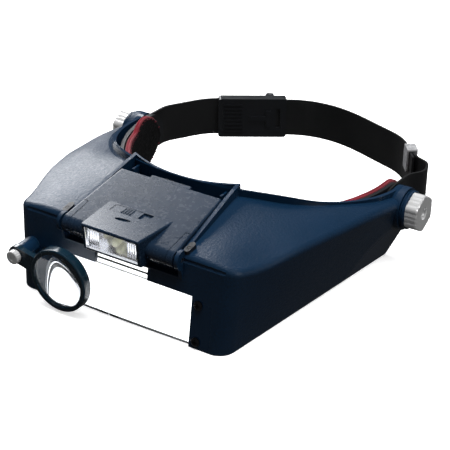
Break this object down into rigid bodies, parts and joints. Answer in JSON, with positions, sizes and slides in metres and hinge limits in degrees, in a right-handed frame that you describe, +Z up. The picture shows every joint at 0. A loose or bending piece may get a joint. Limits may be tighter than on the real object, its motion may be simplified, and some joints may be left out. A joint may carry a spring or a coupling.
{
  "type": "head visor magnifier",
  "caption": "Hobby magnifier visor with a clear front lens, side loupe, tilting battery lamp, flip-in lens and an adjustable padded headband on knobs.",
  "frame": {"origin": "on the surface the visor rests on, under the middle of the whole object's box", "axes": "+Z up, -Y the way the wearer looks, +X the wearer's left"},
  "size_m": [0.1968, 0.2248, 0.0588],
  "materials": {
    "visor_plastic": "finely pebbled navy ABS, satin, smooth on the rim",
    "lamp_plastic": "satin slate-blue ABS",
    "loupe_plastic": "smooth dark blue-green ABS",
    "clear_acrylic": "polished clear acrylic",
    "lamp_clear": "polished clear acrylic with faceted sides",
    "black_plastic": "black nylon, satin",
    "strap_plastic": "smooth black flexible strap, satin",
    "pad_fabric": "padded burgundy cloth, black inside face",
    "grey_plastic": "light grey plastic, satin",
    "clip_plastic": "mottled grey plastic",
    "chrome": "bright chrome on plastic",
    "steel": "plated steel",
    "black_screw": "black oxide screws",
    "brass": "turned brass",
    "reflector_silver": "vacuum-metallised plastic",
    "led_lens": "clear epoxy with a pale phosphor",
    "board": "green solder mask",
    "cell_wrap": "plain shrink-wrapped dry cell"
  },
  "bodies": {
    "visor": {"visor_shell": "visor_plastic", "front_lens": "clear_acrylic", "lens_screws": "black_screw", "lens_retainer_left": "black_plastic", "lens_retainer_right": "black_plastic", "hinge_clip_left": "black_plastic", "hinge_clip_right": "black_plastic", "lamp_pin_left": "steel", "lamp_pin_right": "steel", "flip_bracket_left": "black_plastic", "flip_bracket_right": "black_plastic", "flip_bracket_screws": "steel", "flip_pin": "steel", "pivot_disc_left": "visor_plastic", "pivot_disc_right": "visor_plastic", "loupe_washer": "steel"},
    "lamp": {"lamp_cover": "lamp_plastic", "lamp_base": "lamp_plastic", "battery_door": "lamp_plastic", "battery_door_screw": "steel", "battery_front": "cell_wrap", "battery_rear": "cell_wrap", "contact_springs": "steel", "contact_plates": "steel", "circuit_board": "board", "leds": "led_lens", "reflector": "reflector_silver", "lamp_window": "lamp_clear", "switch_body": "black_plastic"},
    "switch": {"switch_slider": "lamp_plastic"},
    "loupe": {"loupe_frame": "loupe_plastic", "loupe_lens": "clear_acrylic", "loupe_retaining_ring": "black_plastic"},
    "loupe_thumb_screw": {"loupe_screw": "chrome"},
    "flip_lens_unit": {"flip_lens_frame": "black_plastic", "flip_lens": "clear_acrylic"},
    "headband": {"front_band": "black_plastic", "forehead_pad": "pad_fabric", "pivot_bolt_left": "steel", "pivot_bolt_right": "steel", "pivot_washers": "steel", "strap_right": "strap_plastic", "strap_left": "strap_plastic", "side_arm_left": "strap_plastic", "strap_clip": "clip_plastic", "buckle_frame": "black_plastic", "buckle_lever_pin": "steel"},
    "lever": {"buckle_lever": "grey_plastic"},
    "knob_unit_left": {"knob_left": "chrome", "knob_insert_left": "brass"},
    "knob_unit_right": {"knob_right": "chrome", "knob_insert_right": "brass"}
  },
  "joints": [
    {"name": "headband_tilt", "type": "hinge", "parent": "visor", "child": "headband", "pos_m": [0, 0.03655, 0.0276], "axis": [1, 0, 0], "range_deg": [-15, 60]},
    {"name": "lamp_tilt", "type": "hinge", "parent": "visor", "child": "lamp", "pos_m": [0, -0.0942, 0.04328], "axis": [1, 0, 0], "range_deg": [0, 30]},
    {"name": "switch_slide", "type": "slide", "parent": "lamp", "child": "switch", "axis": [1, 0, 0], "range_m": [0, 0.005]},
    {"name": "loupe_swing", "type": "hinge", "parent": "visor", "child": "loupe", "pos_m": [-0.0553, -0.10745, 0.0241], "axis": [0, 1, 0], "range_deg": [-190, 35]},
    {"name": "loupe_screw_turn", "type": "hinge", "parent": "visor", "child": "loupe_thumb_screw", "pos_m": [-0.0553, -0.10745, 0.0241], "axis": [0, 1, 0], "continuous": true},
    {"name": "flip_lens_swing", "type": "hinge", "parent": "visor", "child": "flip_lens_unit", "pos_m": [0, -0.08685, 0.0298], "axis": [-1, 0, 0], "range_deg": [0, 100]},
    {"name": "lever_lift", "type": "hinge", "parent": "headband", "child": "lever", "pos_m": [-0.03807, 0.10313, 0.02551], "axis": [0, -0.0314, -0.9995], "range_deg": [0, 20], "stiffness_Nm_per_rad": 0.05},
    {"name": "knob_left_turn", "type": "hinge", "parent": "headband", "child": "knob_unit_left", "pos_m": [0.0917, 0.03655, 0.0276], "axis": [1, 0, 0], "continuous": true},
    {"name": "knob_right_turn", "type": "hinge", "parent": "headband", "child": "knob_unit_right", "pos_m": [-0.0917, 0.03655, 0.0276], "axis": [1, 0, 0], "continuous": true}
  ]
}
